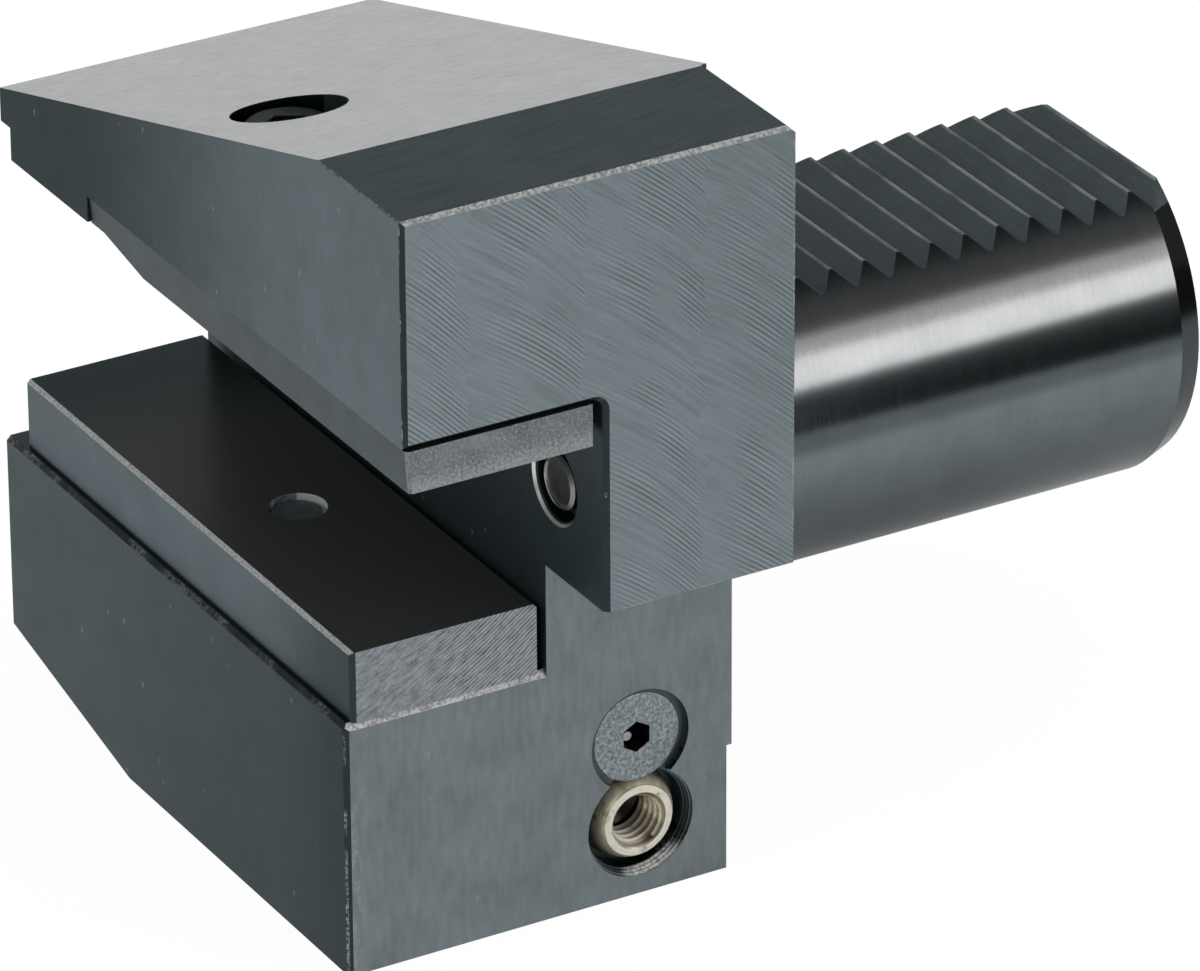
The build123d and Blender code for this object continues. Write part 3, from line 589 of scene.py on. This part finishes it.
# turned about the nozzle's axis: reaches are measured from that axis, the depth along it
brassSettings = {
    # the stain colour serves both oil stains and the painted shade in the thread's valleys; the darkest colour is
    # painted shade at the bottom of the bore
    "bright": (0.880, 0.800, 0.620, 1), "dull": (0.620, 0.540, 0.390, 1), "stain": (0.260, 0.215, 0.130, 1),
    "paintedBoreShade": (0.030, 0.024, 0.016, 1), "crest": (1.000, 0.960, 0.820, 1), "face": (1.000, 0.970, 0.860, 1),
    "ringsLay": (5200.0, 4200.0, 0.0), "rings": (1.0, 2.0), "stains": (800.0, 3.0, 0.65), "dullFrom": (0.38, 0.66),
    "oilFrom": (0.58, 0.72), "oil": 0.75, "bore": 3.10 * mm, "valley": (2.66 * mm, 2.84 * mm),
    "valleyTone": (0.85, -0.45), "crestTone": (0.3, 0.7), "paintedLightSide": (0.4 * mm, 2.0 * mm), "diagonal": 0.7,
    "depth": (27.0 * mm, 25.5 * mm), "ring": (2.9 * mm, 3.95 * mm), "ringTone": (1.0, -0.6),
    "seat": (4.0 * mm, 4.8 * mm), "seatShadeShare": 0.62, "tone": (0.76, 0.36), "roughness": (0.18, 0.20),
    "metal": 0.80, "ballLessMetal": 0.50, "faceLessMetal": 0.40, "crestLessMetal": (0.15, 0.60),
    "bump": 0.010 * mm, "edge": 0.12 * mm,
}


def brassTurned(s):
    # rings left by the turning tool about the nozzle's axis, with oil stains, and painted light and shade in the bore
    # and on the ball
    material, g, place, (x, y, z), (nx, _, _) = startMaterial("turnedBrass")
    fromAxis = g.reach(y, z, nozzleAxis)
    rings = g.noise(g.laid((fromAxis, x, None), s["ringsLay"]), *s["rings"])
    stain = g.noise(place, *s["stains"])
    colour = g.mix(g.smooth(stain, *s["dullFrom"]), s["bright"], s["dull"])
    inBore = g.below(fromAxis, s["bore"])
    oiled = g.times(g.smooth(stain, *s["oilFrom"]), s["oil"])
    # painted light in the threaded bore: the crests are bright, most on the lower left side, which is painted as lit;
    # the valleys take a painted shade in the stain colour, deeper away from that side; the bottom of the bore is
    # painted dark; oil stains lie everywhere but the lit side of the bore
    lowLeft = g.plus(g.times(g.minus(nozzleAxis[0], y), s["diagonal"]),
                     g.times(g.minus(nozzleAxis[1], z), s["diagonal"]))
    paintedLight = g.times(inBore, g.smooth(lowLeft, *s["paintedLightSide"]))
    valley = g.times(inBore, g.smooth(fromAxis, *s["valley"]), g.tone(s["valleyTone"], paintedLight))
    crest = g.times(inBore, g.minus(1.0, valley))
    colour = g.mix(g.times(crest, g.tone(s["crestTone"], paintedLight)), colour, s["crest"])
    onFace = g.times(g.between(fromAxis, *s["ring"]), g.above(nx, squareTo))
    colour = g.mix(g.times(onFace, g.tone(s["ringTone"], stain)), colour, s["face"])
    colour = g.mix(g.most(g.times(oiled, g.minus(1.0, paintedLight)), valley), colour, s["stain"])
    # painted shade deep in the bore
    colour = g.mix(g.times(inBore, g.smooth(x, *s["depth"])), colour, s["paintedBoreShade"])
    # painted shade: the ball is darkened, and looks browner, towards its seat in the pocket
    onBall = g.above(fromAxis, s["ring"][1])
    paintedSeatShade = g.times(onBall, g.smooth(fromAxis, *s["seat"]), s["seatShadeShare"])
    colour = g.shade(colour, g.times(g.tone(s["tone"], rings), g.minus(1.0, paintedSeatShade)))
    lessMetal = g.most(g.times(onBall, s["ballLessMetal"]), g.times(crest, g.tone(s["crestLessMetal"], paintedLight)))
    metal = g.minus(g.minus(s["metal"], lessMetal), g.times(onFace, s["faceLessMetal"]))
    finishMaterial(g, colour, metal, g.tone(s["roughness"], stain), rings, s["bump"], s["edge"])
    return material


brass = brassTurned(brassSettings)
rubber = sealRubber(sealSettings)
small = {name: smallSteel(name, {**smallShared, **own}) for name, own in smallSettings.items()}
finishes = {
    "holder_body": bodySteel(bodySettings), "seat_bar": barSteel(barSettings), "clamp_plate": plateSteel(plateSettings),
    "seat_bar_screw": small["capScrew"], "clamp_screw_front": small["blackScrew"],
    "clamp_screw_back": small["blackScrew"], "cross_channel_plug": small["blackScrew"],
    "riser_channel_plug": small["blackScrew"], "plate_guide_screw": small["plateTip"],
    "nozzle_keeper_screw": small["greyScrew"], "wall_channel_plug": small["plugSteel"],
    "seat_bar_pins": small["brightSteel"], "plate_return_spring": small["springWire"],
    "nozzle_seal": rubber, "flange_seal_ring": rubber, "coolant_nozzle": brass,
}
for name, material in finishes.items():
    node = nodes[name]
    if node.material_slots:
        for slot in node.material_slots:
            slot.material = material
    else:
        node.data.materials.append(material)
print("finishes set on", len(finishes), "nodes")


def addObject(name, data):
    made = bpy.data.objects.new(name, data)
    bpy.context.scene.collection.objects.link(made)
    return made


def addSmooth(name, mesh, sharpAngle):
    # smooth shading that keeps the edges over an angle, in degrees
    mesh.polygons.foreach_set("use_smooth", [True] * len(mesh.polygons))
    mesh.set_sharp_from_angle(angle=math.radians(sharpAngle))
    return addObject(name, mesh)


def latheMesh(name, profile, s):
    # turns a closed half section (along X, radius) about an axis through the centre that points along +X
    built = bmesh.new()
    rings = []
    startX, startY, startZ = s["centre"]
    for along, radius in profile:
        ring = []
        for step in range(s["steps"]):
            angle = fullTurn * step / s["steps"]
            ring.append(built.verts.new((startX + along, startY + radius * math.cos(angle),
                                         startZ + radius * math.sin(angle))))
        rings.append(ring)
    for first, second in zip(rings, rings[1:] + rings[:1]):
        for step in range(s["steps"]):
            following = (step + 1) % s["steps"]
            built.faces.new((first[step], first[following], second[following], second[step]))
    bmesh.ops.recalc_face_normals(built, faces=built.faces)
    mesh = bpy.data.meshes.new(name)
    built.to_mesh(mesh)
    built.free()
    return addSmooth(name, mesh, s["sharp"])


def windingTree():
    # Geometry Nodes: a wire or ridge that winds round an axis, moved to its place, with its own finish
    tree = bpy.data.node_groups.new("winding", "GeometryNodeTree")
    face = tree.interface
    face.new_socket("Geometry", in_out="OUTPUT", socket_type="NodeSocketGeometry")
    for label, kind in (("Radius", "Float"), ("Pitch", "Float"), ("Turns", "Float"), ("Steps", "Int"),
                        ("Thickness", "Float"), ("Sides", "Int"), ("Place", "Vector"), ("Turn", "Rotation"),
                        ("Finish", "Material")):
        face.new_socket(label, in_out="INPUT", socket_type="NodeSocket" + kind)
    g = Graph(tree)
    given = g.add("NodeGroupInput").outputs
    path = g.add("GeometryNodeCurveSpiral", {"Resolution": given["Steps"], "Rotations": given["Turns"],
                                             "Height": g.times(given["Pitch"], given["Turns"]),
                                             "Start Radius": given["Radius"], "End Radius": given["Radius"]})
    upright = g.add("GeometryNodeSetCurveNormal", {"Curve": path.outputs[0]}, mode="Z_UP")
    section = g.add("GeometryNodeCurvePrimitiveCircle", {"Resolution": given["Sides"], "Radius": given["Thickness"]})
    wound = g.add("GeometryNodeCurveToMesh", {"Curve": upright.outputs[0], "Profile Curve": section.outputs[0],
                                              "Fill Caps": True})
    placed = g.add("GeometryNodeTransform", {"Geometry": wound.outputs[0], "Translation": given["Place"],
                                             "Rotation": given["Turn"]})
    loose = g.add("GeometryNodeRealizeInstances", {0: placed.outputs[0]})
    painted = g.add("GeometryNodeSetMaterial", {"Geometry": loose.outputs[0], "Material": given["Finish"]})
    g.put(g.add("NodeGroupOutput").inputs[0], painted.outputs[0])
    return tree


winding = windingTree()


def woundPiece(name, s, finish):
    # runs the tree once for one thread or spring and keeps the result as a plain mesh
    start = addObject(name + "Start", bpy.data.meshes.new(name + "Start"))
    modifier = start.modifiers.new("winding", "NODES")
    modifier.node_group = winding
    for item in winding.interface.items_tree:
        if item.in_out == "INPUT":
            modifier[item.identifier] = finish if item.name == "Finish" else s[item.name.lower()]
    bpy.context.view_layer.update()
    seen = start.evaluated_get(bpy.context.evaluated_depsgraph_get())
    mesh = bpy.data.meshes.new_from_object(seen)
    mesh.name = name
    piece = addSmooth(name, mesh, s["sharp"])
    bpy.data.objects.remove(start)
    return piece


nozzleSettings = {
    "ball": 5.0 * mm, "bore": 1.5 * mm, "face": 3.85 * mm, "faceRound": 0.12 * mm, "roundShare": 0.4,
    "mouth": 3.15 * mm, "mouthSlope": 0.8, "thread": 2.95 * mm, "threadDepth": 5.3 * mm, "threadEnd": 0.9 * mm,
    "centre": (27.2 * mm, *nozzleAxis), "bands": 26, "steps": 96, "sharp": 32.0,
}


def nozzleProfile(s):
    # from the back bore over the ball to the ring face, then back down the threaded bore
    ball, back = s["ball"], s["bore"]
    first = math.pi - math.asin(back / ball)
    last = math.asin((s["face"] + s["faceRound"] * s["roundShare"]) / ball)
    points = []
    for band in range(s["bands"] + 1):
        angle = first + (last - first) * band / s["bands"]
        points.append((ball * math.cos(angle), ball * math.sin(angle)))
    face = math.sqrt(ball ** 2 - s["face"] ** 2)
    countersink = (s["mouth"] - s["thread"]) * s["mouthSlope"]
    bottom = face - s["threadDepth"]
    points += [(face, s["face"] - s["faceRound"]), (face, s["mouth"]), (face - countersink, s["thread"]),
               (bottom, s["thread"]), (bottom - s["threadEnd"], back)]
    return points


nozzle = latheMesh("nozzleBall", nozzleProfile(nozzleSettings), nozzleSettings)
nozzle.data.materials.append(brass)
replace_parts(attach(nozzle, "nozzle"), "coolant_nozzle")

nozzleThreadSettings = {
    "radius": 2.98 * mm, "pitch": 1.0 * mm, "turns": 4.9, "steps": 48, "thickness": 0.44 * mm, "sides": 4,
    "place": (25.2 * mm, *nozzleAxis), "turn": (0.0, math.pi / 2, 0.0), "sharp": 60.0,
}
nozzleThread = woundPiece("nozzleThread", nozzleThreadSettings, brass)
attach(nozzleThread, "nozzle")
print("nozzle made,", len(nozzle.data.polygons) + len(nozzleThread.data.polygons), "faces")

# the coil between the guide screw's head and the step in the arm, which on the holder shortens as the plate rises
springSettings = {
    "radius": 4.0 * mm, "pitch": 2.04 * mm, "turns": 4.0, "steps": 48, "thickness": 0.40 * mm, "sides": 12,
    "place": (*guideAxis, -26.68 * mm), "turn": (0.0, 0.0, 0.0), "sharp": 60.0,
    "fixedEnd": (*guideAxis, -18.10 * mm), "length": 8.98 * mm, "travel": 4.0 * mm,
}


def returnSpring(s):
    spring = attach(woundPiece("returnSpring", s, small["springWire"]), "holder")
    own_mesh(spring)
    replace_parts(spring, "plate_return_spring")
    return spring


spring = returnSpring(springSettings)
print("spring made,", len(spring.data.polygons), "faces")

# the shares are of light that the floor gives out itself, to the camera and to the object's shine
stageSettings = {
    "floorSize": 12.0, "floorGap": 0.02 * mm, "floor": (0.86, 0.86, 0.86, 1), "white": (1, 1, 1, 1),
    "cameraShare": 0.84, "cameraWhite": 1.12, "shineShare": 0.50, "shineWhite": 1.0,
    "shadeCentre": (-10.0 * mm, 45.0 * mm), "shadeReach": (0.0, 85.0 * mm),
    "worldSoft": 0.40, "worldShine": 0.17, "worldSeen": 1.0,
}


def addQuad(name, corners, material):
    mesh = bpy.data.meshes.new(name)
    mesh.from_pydata(corners, [], [(0, 1, 2, 3)])
    mesh.materials.append(material)
    return addObject(name, mesh)


def floorFinish(s):
    # white to the camera but for a faint shadow; seen from below it is clear and shows the underside
    material = bpy.data.materials.new("paleFloor")
    g = clearGraph(material)
    cloth = g.add("ShaderNodeBsdfDiffuse", {"Color": s["floor"]})
    path = g.add("ShaderNodeLightPath").outputs
    seen, shine = path["Is Camera Ray"], path["Is Glossy Ray"]
    strength = g.mix(seen, s["shineWhite"], s["cameraWhite"], "FLOAT")
    glow = g.add("ShaderNodeEmission", {"Color": s["white"], "Strength": strength})
    x, y = g.parts(g.add("ShaderNodeTexCoord").outputs["Object"])[:2]
    lit = g.smooth(g.reach(x, y, s["shadeCentre"]), *s["shadeReach"])
    share = g.plus(g.times(seen, s["cameraShare"]), g.times(shine, s["shineShare"], lit))
    blend = g.add("ShaderNodeMixShader", {0: share, 1: cloth.outputs[0], 2: glow.outputs[0]})
    under = g.times(seen, g.add("ShaderNodeNewGeometry").outputs["Backfacing"])
    clear = g.add("ShaderNodeBsdfTransparent")
    oneSided = g.add("ShaderNodeMixShader", {0: under, 1: blend.outputs[0], 2: clear.outputs[0]})
    g.add("ShaderNodeOutputMaterial", {"Surface": oneSided.outputs[0]})
    return material


def buildStage(s):
    # a pale floor just under the object, and a soft grey room that is white to the camera
    low, half = cadBox[0][2] - s["floorGap"], s["floorSize"] / 2
    corners = [(-half, -half, low), (half, -half, low), (half, half, low), (-half, half, low)]
    addQuad("floor", corners, floorFinish(s))

    world = bpy.data.worlds.new("studio")
    g = clearGraph(world)
    path = g.add("ShaderNodeLightPath").outputs
    strength = g.mix(path["Is Glossy Ray"], s["worldSoft"], s["worldShine"], "FLOAT")
    strength = g.mix(path["Is Camera Ray"], strength, s["worldSeen"], "FLOAT")
    room = g.add("ShaderNodeBackground", {"Color": s["white"], "Strength": strength})
    g.add("ShaderNodeOutputWorld", {"Surface": room.outputs[0]})
    bpy.context.scene.world = world


buildStage(stageSettings)

# soft boxes: azimuth, elevation, distance, size and the brightness of the box's face
panelSettings = {
    "keyPanel": (31.0, 18.5, 1.3, (1.1, 0.36), 3.1), "fillPanel": (36.0, 31.0, 1.3, (1.1, 0.22), 1.2),
    "farPanel": (153.0, 4.0, 1.6, (1.7, 0.42), 1.6), "frontPanel": (-78.0, 34.0, 1.5, (1.0, 0.7), 1.1),
}


def addPanel(name, azimuth, elevation, distance, size, brightness):
    lamp = bpy.data.lights.new(name, "AREA")
    lamp.shape = "RECTANGLE"
    lamp.size, lamp.size_y = size
    lamp.energy = brightness * math.pi * size[0] * size[1]
    a, e = math.radians(azimuth), math.radians(elevation)
    at = Vector((math.cos(e) * math.cos(a), math.cos(e) * math.sin(a), math.sin(e))) * distance
    box = addObject(name, lamp)
    box.location = at
    box.rotation_euler = (-at).to_track_quat("-Z", "Y").to_euler()


for name, settings in panelSettings.items():
    addPanel(name, *settings)

# a black card that only glossy rays see: it cuts the shank's bright band off
cardSettings = {
    "azimuth": 27.0, "distance": 160.0 * mm, "near": -2.0 * mm, "far": 300.0 * mm, "low": -28.0 * mm,
    "high": 31.0 * mm, "black": (0.06, 0.06, 0.06, 1), "roughness": 0.9,
}


def addCard(s):
    a = math.radians(s["azimuth"])
    middle = Vector((math.cos(a), math.sin(a), 0)) * s["distance"]
    along = Vector((-math.sin(a), math.cos(a), 0))
    corners = [(s["near"], s["low"]), (s["far"], s["low"]), (s["far"], s["high"]), (s["near"], s["high"])]
    material = bpy.data.materials.new("cardBlack")
    material.use_nodes = True
    shader = material.node_tree.nodes["Principled BSDF"]
    shader.inputs["Base Color"].default_value = s["black"]
    shader.inputs["Roughness"].default_value = s["roughness"]
    card = addQuad("blackCard", [middle + along * sideways + Vector((0, 0, height)) for sideways, height in corners],
                   material)
    card.visible_camera = card.visible_diffuse = card.visible_shadow = False


addCard(cardSettings)

# fitted to about 60 edges and corners of the photographed holder
cameraSettings = {
    "right": (0.50033782, 0.86581634, -0.00491338), "down": (0.39293075, -0.23211619, -0.8897907),
    "ahead": (-0.7715358, 0.44326532, -0.45634237), "place": (0.734747, -0.419572, 0.426012), "lens": 278.99,
    "sensor": 36.0, "clip": (0.05, 50.0),
}


def addCamera(s):
    lens = bpy.data.cameras.new("camera")
    lens.sensor_fit = "HORIZONTAL"
    lens.sensor_width = s["sensor"]
    lens.lens = s["lens"]
    lens.clip_start, lens.clip_end = s["clip"]
    camera = addObject("camera", lens)
    turned = Matrix((Vector(s["right"]), -Vector(s["down"]), -Vector(s["ahead"]))).transposed()
    camera.matrix_world = Matrix.Translation(Vector(s["place"])) @ turned.to_4x4()
    bpy.context.scene.camera = camera


addCamera(cameraSettings)
bpy.context.scene.view_settings.view_transform = "Standard"
print("stage, lamps and camera set")
